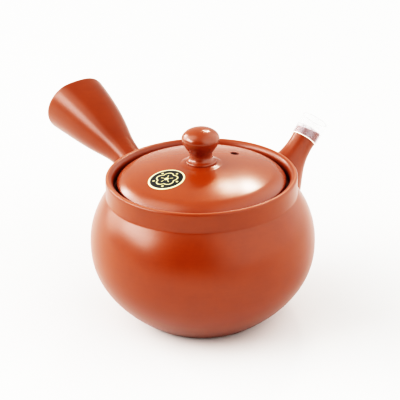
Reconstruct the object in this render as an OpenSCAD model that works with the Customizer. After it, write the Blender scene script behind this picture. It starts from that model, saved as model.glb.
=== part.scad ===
// Side-handled teapot of unglazed red clay: a thrown pot with a luted spout and a hollow side handle,
// a lid that lifts out of a gallery, a steel strainer behind the spout and a clear tube on the spout's tip.
// Millimetres. The origin is the middle of the foot, +Z is up and +X points along the spout.

/* [Pot] */
// Widest diameter of the pot
belly_d = 110; // [98:1:130]
// Height of the widest point
belly_z = 38.8; // [32:0.1:44]
// Diameter of the flat foot
foot_d = 61.6; // [50:0.2:74]
// Fullness of the wall between foot and belly: higher is fuller
belly_swell = 2.27; // [1.8:0.01:2.8]
// Height of the crease between shoulder and collar
crease_z = 63.5; // [58:0.1:70]
// Outside diameter of the collar
collar_d = 92.6; // [86:0.2:98]
// Height of the collar above the crease
collar_h = 9.8; // [8.6:0.1:13]
// Thickness of the collar, which ends in a lip that slopes in
lip_t = 3.8; // [2.4:0.1:4.4]
// Radius of the lip's outer round
lip_out = 1.2; // [0.6:0.1:1.8]
// Height of the lip's rounded inner slope
lip_drop = 3.4; // [1.5:0.1:4.2]
// Thickness of the thrown wall
wall = 4; // [3.2:0.1:4.8]
// Thickness of the floor
floor_t = 5; // [4:0.1:7]

/* [Gallery and lid] */
// Depth of the lid's ledge below the rim
ledge_drop = 6.5; // [5:0.1:7.4]
// Width of the ledge, in from the collar
ledge_w = 4.7; // [3.8:0.1:6]
// Least thickness of the ledge
ledge_t = 2; // [1.5:0.1:3]
// Gap all round between the lid's edge and the collar
lid_gap = 1.6; // [0.6:0.1:3]
// Gap under the lid where it rests on the ledge
seat_gap = 0.2; // [0.1:0.05:0.4]
// Height of the lid's upright edge
lid_edge_h = 3.1; // [2:0.1:4]
// Radius of the round corner on top of the lid's upright edge
lid_corner = 0.8; // [0.4:0.1:1.6]
// Slope of the lid where its top meets that corner, in degrees
lid_slope = 47; // [36:1:66]
// Radius of the curve between the corner and the lid's dome
lid_curve_r = 14; // [6:0.5:18]
// Rise of the lid's dome above the top of that curve
lid_rise = 4.1; // [2:0.1:7]
// Thickness of the lid
lid_t = 3.2; // [2.4:0.1:4.5]
// Gap between the lid's tenon and the ledge
tenon_gap = 0.9; // [0.4:0.1:1.5]
// Thickness of the tenon
tenon_t = 2.8; // [2:0.1:4]
// Depth of the tenon below the lid's seat
tenon_h = 4.8; // [3:0.1:10]
// Diameter of the vent hole in the lid
vent_d = 4.2; // [2.5:0.1:5]
// Distance of the vent hole in from the lid's edge
vent_inset = 18.8; // [10:0.1:24]
// Turn of the vent hole from the spout, in degrees
vent_turn = 0; // [-20:1:20]

/* [Knob and label] */
// Diameter of the raised pad under the knob
pad_d = 18.2; // [16:0.1:24]
// Height of the pad above the dome at its edge
pad_h = 0.6; // [0.4:0.1:2]
// Share of the pad's height taken by its rounded edge
pad_soft = 0.7; // [0.2:0.05:0.95]
// Diameter of the knob's foot
knob_foot_d = 15; // [11:0.1:16]
// Height of the upright edge at the knob's foot
knob_foot_h = 1; // [0.4:0.1:2]
// Diameter of the knob's neck
knob_neck_d = 10.7; // [7:0.1:14]
// Height of the neck above the pad
knob_neck_z = 4; // [3:0.1:8]
// Widest diameter of the knob
knob_d = 18.3; // [14:0.1:26]
// Height of the widest point above the pad
knob_wide_z = 12; // [9:0.1:16]
// Height of the knob above the pad
knob_h = 17.4; // [15:0.1:24]
// Diameter of the paper label
label_d = 17.6; // [12:0.1:20]
// Thickness of the label
label_t = 0.25; // [0.1:0.05:0.5]
// Distance of the label's middle in from the lid's edge
label_inset = 18.8; // [15:0.1:21]
// Turn of the label from the spout, in degrees
label_turn = 180; // [90:1:270]

/* [Spout and cap] */
// Height at which the spout's axis leaves the pot's wall
spout_root_z = 52.7; // [48:0.1:56]
// Tilt of the spout above the table, in degrees
spout_tilt = 44.3; // [35:0.1:52]
// Length of the spout's axis from the wall to the mouth
spout_len = 31.6; // [26:0.1:40]
// Diameter of the spout's tip
tip_d = 12.2; // [10:0.1:16]
// Bore at the tip
tip_bore_d = 8.6; // [6:0.1:9.4]
// Diameter of the spout's root, inside the pot's outline
root_d = 36.8; // [32:0.1:40]
// Thickness of the spout's wall at its root
root_t = 3.2; // [2.4:0.1:4]
// Angle of the mouth from square, which leaves the under-lip longer, in degrees
mouth_cut = 14; // [0:1:30]
// Length of the clear tube over the tip
cap_len = 11.8; // [9:0.1:16]
// How far the tube grips the tip
cap_grip = 5.8; // [3:0.1:7]
// Thickness of the tube
cap_t = 0.6; // [0.4:0.05:1]
// Gap all round between tube and tip
cap_gap = 0.1; // [0.05:0.01:0.3]

/* [Strainer] */
// Diameter of the hole in the pot's wall behind the spout
pour_d = 17; // [12:0.2:18]
// Width of the strainer's flange
flange_w = 1.9; // [1.2:0.1:2.6]
// Thickness of the strainer's sheet steel
flange_t = 0.6; // [0.4:0.1:1]
// Length of the sleeve in the hole
sleeve_h = 2.6; // [1.5:0.1:3]
// Rise of the domed screen
dome_h = 4.5; // [3:0.1:6]
// Thickness of the screen
screen_t = 0.4; // [0.3:0.05:0.8]
// Diameter of the holes in the screen
screen_hole_d = 1.2; // [0.8:0.1:1.4]
// Distance between the holes in the screen
screen_pitch = 2.1; // [1.9:0.1:3]
// Gap all round between the strainer and its seat
strainer_gap = 0.05; // [0.02:0.01:0.2]

/* [Handle] */
// Turn of the handle from the spout, in degrees
handle_turn = 80; // [70:1:110]
// Height at which the handle's axis leaves the pot's wall
handle_root_z = 50.6; // [44:0.1:54]
// Tilt of the handle where it leaves the wall, in degrees
handle_tilt = 19.5; // [10:0.1:30]
// Droop of the handle over its length, in degrees
handle_droop = 10.8; // [4:0.1:20]
// Length of the handle along its axis
handle_len = 79; // [60:0.1:95]
// Diameter of the handle where it is luted to the wall
handle_root_d = 21; // [17:0.2:26]
// Diameter of the handle's neck
handle_neck_d = 14.5; // [13:0.1:18]
// Distance of the neck from the wall
handle_neck_x = 12; // [9:0.1:18]
// Diameter of the handle's end
handle_end_d = 34.9; // [28:0.1:42]
// Thickness of the handle's wall, which ends in a round lip
handle_wall = 3.2; // [2.4:0.1:4]
// Height of the pressed flat for the thumb, as a share of the handle's radius
handle_flat = 0.93; // [0.85:0.01:1]
// Turn of the flat round the handle towards the spout, in degrees
handle_flat_turn = 6; // [0:1:30]
// Angle of the handle's end from square, which leaves its under-side longer, in degrees
handle_cut = 12; // [0:1:20]

/* [Hidden] */
$fn = 96;
clay = [0.66, 0.25, 0.12];
steel = [0.72, 0.73, 0.75];
wall_steps = 14; // facets along each stretch of the pot's outline
lip_steps = 8; // facets round a lip
curve_steps = 12; // facets along a flare

belly_r = belly_d / 2;
foot_r = foot_d / 2;
collar_r = collar_d / 2;
collar_in = collar_r - lip_t;
rim_z = crease_z + collar_h;
ledge_z = rim_z - ledge_drop;
ledge_in = collar_in - ledge_w;
// The shoulder is one arc that leaves the belly upright and ends at the crease.
shoulder_h = crease_z - belly_z;
shoulder_r = (pow(belly_r - collar_r, 2) + pow(shoulder_h, 2)) / (2 * (belly_r - collar_r));
shoulder_x = belly_r - shoulder_r;
inner_r = shoulder_r - wall;

lid_z = ledge_z + seat_gap;
lid_r = collar_in - lid_gap;
lid_edge_z = lid_z + lid_edge_h;
lid_corner_x = lid_r - lid_corner;
// The corner, the curve and the dome are tangent to each other.
lid_curve_x = lid_corner_x - (lid_curve_r - lid_corner) * sin(lid_slope);
lid_curve_z = lid_edge_z - (lid_curve_r - lid_corner) * cos(lid_slope);
lid_dome_r = (pow(lid_curve_x, 2) + pow(lid_curve_r + lid_rise, 2) - pow(lid_curve_r, 2)) / (2 * lid_rise);
lid_top_z = lid_curve_z + lid_curve_r + lid_rise;
lid_dome_z = lid_top_z - lid_dome_r;
lid_curve_from = acos(lid_curve_x / (lid_dome_r - lid_curve_r));
tenon_r = ledge_in - tenon_gap;
pad_r = pad_d / 2;
pad_z = dome_z(pad_r) + pad_h;
pad_edge = pad_soft * pad_h;
knob_foot_r = knob_foot_d / 2;

spout_root_x = shoulder_at(spout_root_z);
tip_r = tip_d / 2;
cap_stop = 1.8; // room on the straight end of the spout past the tube's edge
tip_land = cap_grip + cap_stop;
root_back = 17; // how far the spout's horn starts inside the wall
past_mouth = 8; // how far the horn is made past the mouth, before the mouth is cut
strainer_tilt = asin((spout_root_z - belly_z) / shoulder_r);
pour_r = pour_d / 2;
flange_r = pour_r + flange_w;
ring_in = pour_r - strainer_gap - flange_t;
dome_r = (pow(ring_in + flange_t, 2) + pow(dome_h, 2)) / (2 * dome_h);

handle_root_x = shoulder_at(handle_root_z);
handle_sides = 40; // facets round the handle
handle_back = 12; // how far the handle's horn starts inside the wall
bore_start = 10; // solid clay between the wall and the handle's hollow
lean_start = 20; // where the handle's rings start to lean, from the wall

// Point on a cubic curve between p[0] and p[3].
function curve(p, t) =
    pow(1 - t, 3) * p[0] + 3 * t * pow(1 - t, 2) * p[1] + 3 * t * t * (1 - t) * p[2] + t * t * t * p[3];
function curve_points(p, steps) = [for (i = [0 : steps]) curve(p, i / steps)];
// Half outline [length, radius] of a flare, level at its narrow end, with pulls as shares of its size.
function flare_points(x0, r0, x1, r1, pull) = curve_points([
    [x0, r0],
    [x0 + pull[0] * (x1 - x0), r0],
    [x0 + pull[1] * (x1 - x0), r0 + pull[2] * (r1 - r0)],
    [x1, r1]], curve_steps);
function oval(x, y, rx, ry, from, to, steps) =
    [for (i = [0 : steps]) let (a = from + (to - from) * i / steps) [x + rx * cos(a), y + ry * sin(a)]];
function arc(x, y, r, from, to, steps) = oval(x, y, r, r, from, to, steps);

// Outline of the pot's lower wall, its slope, and the same wall one thickness in.
function lower_r(z) = belly_r - (belly_r - foot_r) * pow(1 - z / belly_z, belly_swell);
function lower_slope(z) =
    belly_swell * (belly_r - foot_r) / belly_z * pow(1 - z / belly_z, belly_swell - 1);
function lower_inner(z) =
    let (g = lower_slope(z), n = sqrt(1 + g * g)) [lower_r(z) - wall / n, z + wall * g / n];
// Radius of the shoulder at a height.
function shoulder_at(z) = shoulder_x + sqrt(pow(shoulder_r, 2) - pow(z - belly_z, 2));
// Height of the lid's dome at a radius.
function dome_z(r) = lid_dome_z + sqrt(pow(lid_dome_r, 2) - r * r);

lower_steps = [for (i = [0 : wall_steps - 1]) belly_z * i / wall_steps];
outer_wall = concat(
    [for (z = lower_steps) [lower_r(z), z]],
    arc(shoulder_x, belly_z, shoulder_r, 0, asin(shoulder_h / shoulder_r), wall_steps));
// The inner arc runs up to the edge of the ledge, or to the ledge's underside where the shoulder is steep.
inner_end = min(acos((ledge_in - shoulder_x) / inner_r), asin((ledge_z - ledge_t - belly_z) / inner_r));
inner_wall = concat(
    [for (z = lower_steps) if (lower_inner(z)[1] > floor_t) lower_inner(z)],
    arc(shoulder_x, belly_z, inner_r, 0, inner_end, wall_steps));
inner_top = inner_wall[len(inner_wall) - 1];
ledge_under = inner_top[0] > ledge_in + 0.01 ? [[ledge_in, inner_top[1]]] : [];
// The lip rises in a small round outside its crest and falls in a longer one inside it.
lip_crest = collar_r - lip_out;
lip_slope = oval(lip_crest, rim_z - lip_drop, lip_t - lip_out, lip_drop, 90, 180, lip_steps);
lip = concat(
    arc(lip_crest, rim_z - lip_out, lip_out, 0, 90, lip_steps),
    [for (i = [1 : lip_steps]) lip_slope[i]]);

function reversed(list) = [for (i = [len(list) - 1 : -1 : 0]) list[i]];

// The pot as a solid with no hollow, which the spout and the handle are trimmed to.
module pot_solid() {
    rotate_extrude()
        polygon(concat([[0, 0]], outer_wall, lip, [[collar_in, ledge_z], [0, ledge_z]]));
}

// Places children on the spout's axis: the mouth's middle is the origin and +Z runs out of the mouth.
module at_mouth() {
    translate([spout_root_x, 0, spout_root_z])
        rotate([0, 90 - spout_tilt, 0])
            translate([0, 0, spout_len])
                children();
}

// Places children on the strainer's seat inside the wall: +Z runs out through the wall.
module at_strainer() {
    translate([spout_root_x, 0, spout_root_z])
        rotate([0, 90 - strainer_tilt, 0])
            translate([0, 0, -wall])
                children();
}

module body() {
    color(clay)
        difference() {
            rotate_extrude()
                polygon(concat(
                    [[0, 0]],
                    outer_wall,
                    lip,
                    [[collar_in, ledge_z], [ledge_in, ledge_z]],
                    ledge_under,
                    reversed(inner_wall),
                    [[inner_wall[0][0], floor_t], [0, floor_t]]));
            at_strainer() {
                translate([0, 0, -wall])
                    cylinder(r = pour_r, h = 3 * wall);
                translate([0, 0, -2 * wall])
                    cylinder(r = flange_r + strainer_gap, h = 2 * wall);
            }
        }
}

// Half outline of the spout, back from the mouth: a straight tip, then a flare to the root.
root_l = spout_len + root_back;
spout_pull = [0.34, 0.40, 0.46];
flare = flare_points(tip_land, tip_r, root_l, root_d / 2, spout_pull);
bore = flare_points(tip_land, tip_bore_d / 2, root_l, root_d / 2 - root_t, spout_pull);

// A turned horn along the spout's axis, from past the mouth back to the root.
module horn(outline) {
    rotate_extrude()
        polygon(concat(
            [[0, past_mouth], [outline[0][1], past_mouth]],
            [for (p = outline) [p[1], -p[0]]],
            [[0, -root_l]]));
}

module spout() {
    color(clay)
        difference() {
            at_mouth()
                difference() {
                    horn(flare);
                    horn(bore);
                    rotate([0, -mouth_cut, 0])
                        translate([-root_d, -root_d, 0])
                            cube([2 * root_d, 2 * root_d, root_d]);
                }
            pot_solid();
        }
}

module spout_cap() {
    color([0.9, 0.95, 0.95, 0.4])
        at_mouth()
            translate([0, 0, -cap_grip])
                difference() {
                    cylinder(r = tip_r + cap_gap + cap_t, h = cap_len);
                    translate([0, 0, -1])
                        cylinder(r = tip_r + cap_gap, h = cap_len + 2);
                }
}

module strainer_ring() {
    color(steel)
        at_strainer()
            difference() {
                union() {
                    translate([0, 0, -flange_t])
                        cylinder(r = flange_r, h = flange_t);
                    cylinder(r = pour_r - strainer_gap, h = sleeve_h);
                }
                translate([0, 0, -1])
                    cylinder(r = ring_in, h = sleeve_h + 2);
            }
}

// Holes of the screen, in rows set half a pitch over.
screen_r = ring_in - screen_hole_d;
screen_rows = floor(screen_r / (screen_pitch * sin(60)));
screen_holes = [
    for (i = [-screen_rows : screen_rows], j = [-screen_rows - 1 : screen_rows + 1])
        let (p = [(j + (i % 2 == 0 ? 0 : 0.5)) * screen_pitch, i * screen_pitch * sin(60)])
            if (norm(p) < screen_r) p];

module strainer_mesh() {
    color(steel)
        at_strainer()
            translate([0, 0, -flange_t])
                difference() {
                    translate([0, 0, dome_r - dome_h])
                        sphere(r = dome_r);
                    translate([0, 0, dome_r - dome_h])
                        sphere(r = dome_r - screen_t);
                    translate([-2 * dome_r, -2 * dome_r, 0])
                        cube([4 * dome_r, 4 * dome_r, 4 * dome_r]);
                    for (p = screen_holes)
                        translate([p[0], p[1], -2 * dome_h])
                            cylinder(d = screen_hole_d, h = 3 * dome_h);
                }
}

// The lid's top from the pad out: the dome, the curve and the corner.
dome_end = lid_dome_r * cos(lid_curve_from);
dome = [for (i = [0 : wall_steps])
    let (r = pad_r + (dome_end - pad_r) * i / wall_steps) [r, dome_z(r)]];
lid_curve = arc(lid_curve_x, lid_curve_z, lid_curve_r, lid_curve_from, 90 - lid_slope, lip_steps);
lid_top = concat(dome, [for (i = [1 : lip_steps]) lid_curve[i]]);
corner_round = arc(lid_corner_x, lid_edge_z, lid_corner, 90 - lid_slope, 0, lip_steps);
pad_round = arc(pad_r - pad_edge, pad_z - pad_edge, pad_edge, 90, 0, lip_steps);
dome_under = [for (i = [0 : wall_steps])
    let (r = (tenon_r - tenon_t) * i / wall_steps) [r, dome_z(max(r, pad_r)) - lid_t]];

module lid() {
    color(clay)
        difference() {
            rotate_extrude()
                polygon(concat(
                    [[0, pad_z]],
                    pad_round,
                    lid_top,
                    [for (i = [1 : lip_steps]) corner_round[i]],
                    [[lid_r, lid_z], [tenon_r, lid_z], [tenon_r, lid_z - tenon_h]],
                    [[tenon_r - tenon_t, lid_z - tenon_h]],
                    reversed(dome_under)));
            rotate([0, 0, vent_turn])
                translate([lid_r - vent_inset, 0, lid_z])
                    cylinder(d = vent_d, h = 2 * (lid_top_z - lid_z));
        }
}

// The knob stands on the lid's pad: upright edge, hollow sweep to the neck, taper out, round top.
knob_neck = [knob_neck_d / 2, knob_neck_z];
knob_wide = [knob_d / 2, knob_wide_z];
knob_top = knob_h - knob_wide_z;
knob_sweep_pull = [0.2, 0.5];
knob_taper_pull = [0.3, 0.6];
sweep_w = knob_foot_r - knob_neck[0];
sweep_h = knob_neck_z - knob_foot_h;
taper_h = knob_wide_z - knob_neck_z;
knob_sweep = curve_points([
    [knob_foot_r, knob_foot_h],
    [knob_neck[0] + knob_sweep_pull[0] * sweep_w, knob_foot_h + knob_sweep_pull[0] * sweep_h],
    [knob_neck[0], knob_foot_h + knob_sweep_pull[1] * sweep_h],
    knob_neck], curve_steps);
knob_taper = curve_points([
    knob_neck,
    [knob_neck[0], knob_neck_z + knob_taper_pull[0] * taper_h],
    [knob_wide[0], knob_neck_z + knob_taper_pull[1] * taper_h],
    knob_wide], curve_steps);
knob_dome = [for (i = [1 : curve_steps])
    let (a = 90 * i / curve_steps) [knob_wide[0] * cos(a), knob_wide_z + knob_top * sin(a)]];

module lid_knob() {
    color(clay)
        translate([0, 0, pad_z])
            rotate_extrude()
                polygon(concat(
                    [[0, 0], [knob_foot_r, 0]],
                    knob_sweep,
                    [for (i = [1 : curve_steps]) knob_taper[i]],
                    knob_dome));
}

// The label is a disc cut from a skin that follows the lid's top.
module lid_label() {
    color([0.12, 0.1, 0.08])
        intersection() {
            rotate_extrude()
                polygon(concat(lid_top, [for (p = reversed(lid_top)) [p[0], p[1] + label_t]]));
            rotate([0, 0, label_turn])
                translate([lid_r - label_inset, 0, lid_z])
                    cylinder(d = label_d, h = 2 * (lid_top_z - lid_z));
        }
}

// The handle's axis is an arc in its upright plane: its direction and its points by length from the wall.
function handle_angle(s) = handle_tilt - handle_droop * s / handle_len;
handle_bend_r = handle_len / (handle_droop * PI / 180);
function handle_point(s) = [
    handle_root_x + handle_bend_r * (sin(handle_tilt) - sin(handle_angle(s))),
    handle_root_z + handle_bend_r * (cos(handle_angle(s)) - cos(handle_tilt))];

// Half outline of the handle as [length, radius]: root, neck, flare, rolled end, hollow and its blind end.
handle_neck_r = handle_neck_d / 2;
handle_end_r = handle_end_d / 2;
end_x = handle_len - handle_wall / 2;
handle_pull = [0.40, 0.26, 0.46];
handle_flare = flare_points(handle_neck_x, handle_neck_r, end_x, handle_end_r, handle_pull);
handle_root = curve_points([
    [-handle_back, handle_root_d / 2],
    [0, handle_root_d / 2],
    [handle_neck_x / 3, handle_neck_r],
    [handle_neck_x, handle_neck_r]], lip_steps);
handle_roll = arc(end_x, handle_end_r - handle_wall / 2, handle_wall / 2, 90, -90, lip_steps);
handle_hollow = [for (p = reversed(handle_flare))
    if (p[0] > bore_start + handle_neck_x / 2 && p[0] < end_x - handle_wall) [p[0], p[1] - handle_wall]];
handle_outline = concat(
    [[-handle_back, 0]],
    [for (i = [0 : lip_steps - 1]) handle_root[i]],
    handle_flare,
    [for (i = [1 : lip_steps]) handle_roll[i]],
    handle_hollow,
    [[bore_start, 0]]);

// The rings lean more and more towards the oblique end, from a plain ring at the start of the lean.
function handle_lean(s) = tan(handle_cut) * pow(max(0, (s - lean_start) / (handle_len - lean_start)), 2);
// Share of the radius left by the flat at a turn round the handle.
function flat_share(t) = min(1, handle_flat / max(cos(t - 90 + handle_flat_turn), 0.1));
// One ring of the handle round its axis.
function handle_ring(p) =
    [for (k = [0 : handle_sides - 1])
        let (
            t = 360 * k / handle_sides,
            r = p[1] * flat_share(t),
            s = p[0] - handle_lean(p[0]) * r * sin(t),
            c = handle_point(s),
            a = handle_angle(s))
                [c[0] - r * sin(t) * sin(a), r * cos(t), c[1] + r * sin(t) * cos(a)]];

// The rings between the two closed ends, with a point on the axis at each end.
module handle_horn() {
    rings = len(handle_outline) - 2;
    n = handle_sides;
    last = rings * n + 1;
    function at(i, k) = 1 + i * n + k % n;
    first_point = handle_point(handle_outline[0][0]);
    last_point = handle_point(handle_outline[rings + 1][0]);
    points = concat(
        [[first_point[0], 0, first_point[1]]],
        [for (i = [1 : rings]) each handle_ring(handle_outline[i])],
        [[last_point[0], 0, last_point[1]]]);
    sides = [for (i = [0 : rings - 2], k = [0 : n - 1])
        each [[at(i, k), at(i + 1, k), at(i, k + 1)], [at(i, k + 1), at(i + 1, k), at(i + 1, k + 1)]]];
    start = [for (k = [0 : n - 1]) [0, at(0, k), at(0, k + 1)]];
    end = [for (k = [0 : n - 1]) [last, at(rings - 1, k + 1), at(rings - 1, k)]];
    polyhedron(points = points, faces = concat(start, sides, end));
}

module handle() {
    color(clay)
        difference() {
            rotate([0, 0, handle_turn])
                handle_horn();
            pot_solid();
        }
}

body();
handle();
spout();
strainer_ring();
strainer_mesh();
lid();
lid_knob();
lid_label();
spout_cap();
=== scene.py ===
import math

import bmesh
import bpy
from mathutils import Matrix, Vector


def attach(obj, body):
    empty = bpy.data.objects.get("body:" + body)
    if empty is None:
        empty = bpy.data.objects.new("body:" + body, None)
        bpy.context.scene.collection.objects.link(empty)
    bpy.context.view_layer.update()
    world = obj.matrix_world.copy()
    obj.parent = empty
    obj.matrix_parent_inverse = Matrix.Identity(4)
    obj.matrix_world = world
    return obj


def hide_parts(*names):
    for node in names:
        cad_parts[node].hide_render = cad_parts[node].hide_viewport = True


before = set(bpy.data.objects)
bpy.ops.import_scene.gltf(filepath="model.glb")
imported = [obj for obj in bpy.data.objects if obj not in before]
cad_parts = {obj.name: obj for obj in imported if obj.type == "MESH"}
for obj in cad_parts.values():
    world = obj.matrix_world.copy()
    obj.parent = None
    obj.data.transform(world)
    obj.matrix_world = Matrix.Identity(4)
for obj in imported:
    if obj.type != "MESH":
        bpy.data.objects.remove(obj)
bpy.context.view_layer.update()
print("scene: frame loaded,", len(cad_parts), "nodes")

mm = 0.001  # sizes below are in millimetres, as in the part's source
scene = bpy.context.scene

# Film: a camera's curve, with deep shadows and a bright floor

film = {
    "contrast": 1.93, "knee": 0.049,
    "stops": (0.008, 0.02, 0.04, 0.07, 0.11, 0.16, 0.23, 0.33, 0.48, 0.7),
}


def setFilm():
    settings = scene.view_settings
    settings.view_transform = "Standard"
    settings.use_curve_mapping = True
    curve = settings.curve_mapping.curves[3]
    for x in film["stops"]:
        power = x ** film["contrast"]
        curve.points.new(x, (1 + film["knee"]) * power / (power + film["knee"]))
    settings.curve_mapping.update()


setFilm()


# Shader sockets

class Wire:
    def __init__(self, tree, socket=None):
        self.tree = tree
        self.socket = socket

    # any node: its settings go first, because some of them change its sockets
    def node(self, kind, settings, inputs, output=0):
        made = self.tree.nodes.new(kind)
        for key, value in settings.items():
            setattr(made, key, value)
        for key, value in inputs.items():
            if isinstance(value, Wire):
                self.tree.links.new(value.socket, made.inputs[key])
            else:
                made.inputs[key].default_value = value
        return Wire(self.tree, made.outputs[output])

    def math(self, operation, *values):
        return self.node("ShaderNodeMath", {"operation": operation}, dict(enumerate(values)))

    def __add__(self, other):
        return self.math("ADD", self, other)

    def __sub__(self, other):
        return self.math("SUBTRACT", self, other)

    def __rsub__(self, other):
        return self.math("SUBTRACT", other, self)

    def __mul__(self, other):
        return self.math("MULTIPLY", self, other)

    def __truediv__(self, other):
        return self.math("DIVIDE", self, other)

    def __pow__(self, other):
        return self.math("POWER", self, other)

    __radd__ = __add__
    __rmul__ = __mul__

    # without its sign
    def size(self):
        return self.math("ABSOLUTE", self)

    # the larger of two
    def most(self, other):
        return self.math("MAXIMUM", self, other)

    # 0 below low, 1 above high, and a smooth step between
    def step(self, low, high):
        return self.node("ShaderNodeMapRange", {"interpolation_type": "SMOOTHSTEP"},
                         {"Value": self, "From Min": low, "From Max": high})

    # colour between two, by this value
    def between(self, first, second):
        return self.node("ShaderNodeMix", {"data_type": "RGBA"}, {0: self, 6: first, 7: second}, 2)

    # a vector scaled along each axis
    def scaled(self, x, y, z):
        return self.node("ShaderNodeVectorMath", {"operation": "MULTIPLY"}, {0: self, 1: (x, y, z)})

    # how far a vector reaches along a direction
    def dot(self, direction):
        return self.node("ShaderNodeVectorMath", {"operation": "DOT_PRODUCT"},
                         {0: self, 1: direction}, "Value")

    def noise(self, size, detail):
        return self.node("ShaderNodeTexNoise", {},
                         {"Vector": self, "Scale": 1 / (size * mm), "Detail": detail})

    def axes(self):
        return [self.node("ShaderNodeSeparateXYZ", {}, {0: self}, name) for name in "XYZ"]

    def to(self, shader, name):
        self.tree.links.new(self.socket, shader.inputs[name])

    # fine relief, into a shader's normal
    def relief(self, shader, depth, strength):
        bump = {"Height": self, "Distance": depth * mm, "Strength": strength}
        self.node("ShaderNodeBump", {}, bump).to(shader, "Normal")


def newMaterial(name, fixed):
    made = bpy.data.materials.new(name)
    made.use_nodes = True
    shader = made.node_tree.nodes["Principled BSDF"]
    for key, value in fixed.items():
        shader.inputs[key].default_value = value
    place = Wire(made.node_tree).node("ShaderNodeTexCoord", {}, {}, "Object")
    return made, shader, place


# Materials

clayLook = {
    "deep": (0.222, 0.0354, 0.0017), "light": (0.252, 0.0425, 0.003), "dark": (0.15, 0.022, 0.002),
    # below, the raw clay colour is painted dark as shade for the gallery and the vent, and the paler
    # colour is a painted highlight for the lip
    "rawAndShade": (0.11, 0.016, 0.001, 1), "lipHighlight": (0.33, 0.088, 0.040, 1),
    "mottle": 14.0, "coarse": 2.6, "speck": 1.1, "streak": 0.9, "grain": 0.7,  # sizes of the marks
    "drawn": (0.04, 0.04, 1.0),  # streaks from turning, drawn out round the pot
    "toneMottle": 0.6, "toneCoarse": 0.2, "toneWheel": 0.2, "toneSpan": (0.3, 0.7),
    "speckShare": 0.06, "speckSpan": (0.70, 0.76),
    "gallery": (36.0, 42.7, 69.0, 71.0),  # raw clay painted dark as shade, from and to in radius, and fading out in height
    # the vent's spot and radius, where the hole is painted dark as shade, and the heights where that
    # painted dark starts
    "vent": (22.1, 0.0, 2.2), "rawAndShadeFrom": (58, 60),
    "crest": (45.2, 0.6, 73.3),  # radius, half width and height of the painted highlight along the lip's crest
    "footShade": (0.62, -10, 55),  # painted shade: how much darker by the foot, and the heights it fades over
    "roughMottle": 0.05, "roughGrain": 0.03, "roughRaw": 0.35,
    "relief": {"grain": 0.05, "coarse": 0.25, "wheel": 0.6, "depth": 0.02, "strength": 0.45},
}


def makeClay(name, shade, gloss=0.5, rough=0.30):
    look, relief = clayLook, clayLook["relief"]
    made, shader, place = newMaterial(name, {"Specular IOR Level": gloss})
    mottle = place.noise(look["mottle"], 3.0)
    grain = place.noise(look["grain"], 3.0)
    coarse = place.noise(look["coarse"], 2.0)
    wheel = place.scaled(*look["drawn"]).noise(look["streak"], 2.0)
    speck = place.noise(look["speck"], 1.0).step(*look["speckSpan"])
    tone = mottle * look["toneMottle"] + coarse * look["toneCoarse"] + wheel * look["toneWheel"]
    tone = tone.step(*look["toneSpan"])
    # raw, unpolished clay in the lid's gallery and in the vent: rougher, and painted dark there as
    # shade
    x, y, z = [axis / mm for axis in place.axes()]
    near, far, low, high = look["gallery"]
    reach = (x * x + y * y) ** 0.5
    rawAndShade = reach.step(near, near + 0.5) * (1 - reach.step(far, far + 0.4)) * (1 - z.step(low, high))
    ventX, ventY, ventR = look["vent"]
    hole = 1 - ((x - ventX) ** 2 + (y - ventY) ** 2).step(ventR ** 2 - 0.5, ventR ** 2)
    rawAndShade = rawAndShade.most(hole) * z.step(*look["rawAndShadeFrom"])
    tones = [tuple(v * shade for v in look[key]) + (1,) for key in ("deep", "light", "dark")]
    deep, light, dark = tones
    skin = (speck * look["speckShare"]).between(tone.between(deep, light), dark)
    # painted shade, darker towards the foot
    share, low, high = look["footShade"]
    skin = (share * (1 - z.step(low, high))).between(skin, dark)
    # painted highlight: the lip's crest is painted paler
    crest, width, rim = look["crest"]
    lipHighlight = (1 - (reach - crest).size().step(0.4 * width, width)) * z.step(rim - 0.6, rim - 0.1)
    skin = (lipHighlight * (1 - z.step(rim + 0.2, rim + 0.4))).between(skin, look["lipHighlight"])
    rawAndShade.between(skin, look["rawAndShade"]).to(shader, "Base Color")
    uneven = look["roughMottle"] * (mottle - 0.5) + look["roughGrain"] * (grain - 0.5)
    (rough + uneven + look["roughRaw"] * rawAndShade).to(shader, "Roughness")
    height = grain * relief["grain"] + coarse * relief["coarse"] + wheel * relief["wheel"]
    height.relief(shader, relief["depth"], relief["strength"])
    return made


steelLook = {
    "dull": (0.60, 0.60, 0.60, 1), "bright": (0.72, 0.72, 0.73, 1), "brush": 0.25, "stain": 5.0,
    "drawn": (1.0, 0.08, 1.0), "roughBrush": 0.12, "roughStain": 0.10, "depth": 0.01, "strength": 0.5,
}


def makeSteel(name, rough):
    look = steelLook
    made, shader, place = newMaterial(name, {"Metallic": 1.0})
    brush = place.scaled(*look["drawn"]).noise(look["brush"], 3.0)
    stain = place.noise(look["stain"], 2.0)
    stain.between(look["dull"], look["bright"]).to(shader, "Base Color")
    uneven = look["roughBrush"] * (brush - 0.5) + look["roughStain"] * (stain - 0.5)
    (rough + uneven).to(shader, "Roughness")
    brush.relief(shader, look["depth"], look["strength"])
    return made


# the label's print, in shares of its radius
labelLook = {
    "field": (0.006, 0.006, 0.005, 1), "gold": (0.72, 0.62, 0.30, 1), "border": (0.80, 0.73, 0.42, 1),
    "petals": 5, "petal": (0.46, 0.14), "outline": (0.025, 0.05), "heart": 0.11,
    "ray": (0.13, 0.34), "rayWidth": (0.12, 0.3), "dots": (0.62, 0.74), "dotWidth": (0.16, 0.26),
    "soft": 0.03, "borderFrom": (0.885, 0.905), "gloss": 0.4, "rough": 0.55, "foilSmooth": 0.2,
    "paper": 0.5, "paperRough": 0.1, "paperHeight": 0.3, "depth": 0.02, "strength": 0.6,
}


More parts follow.
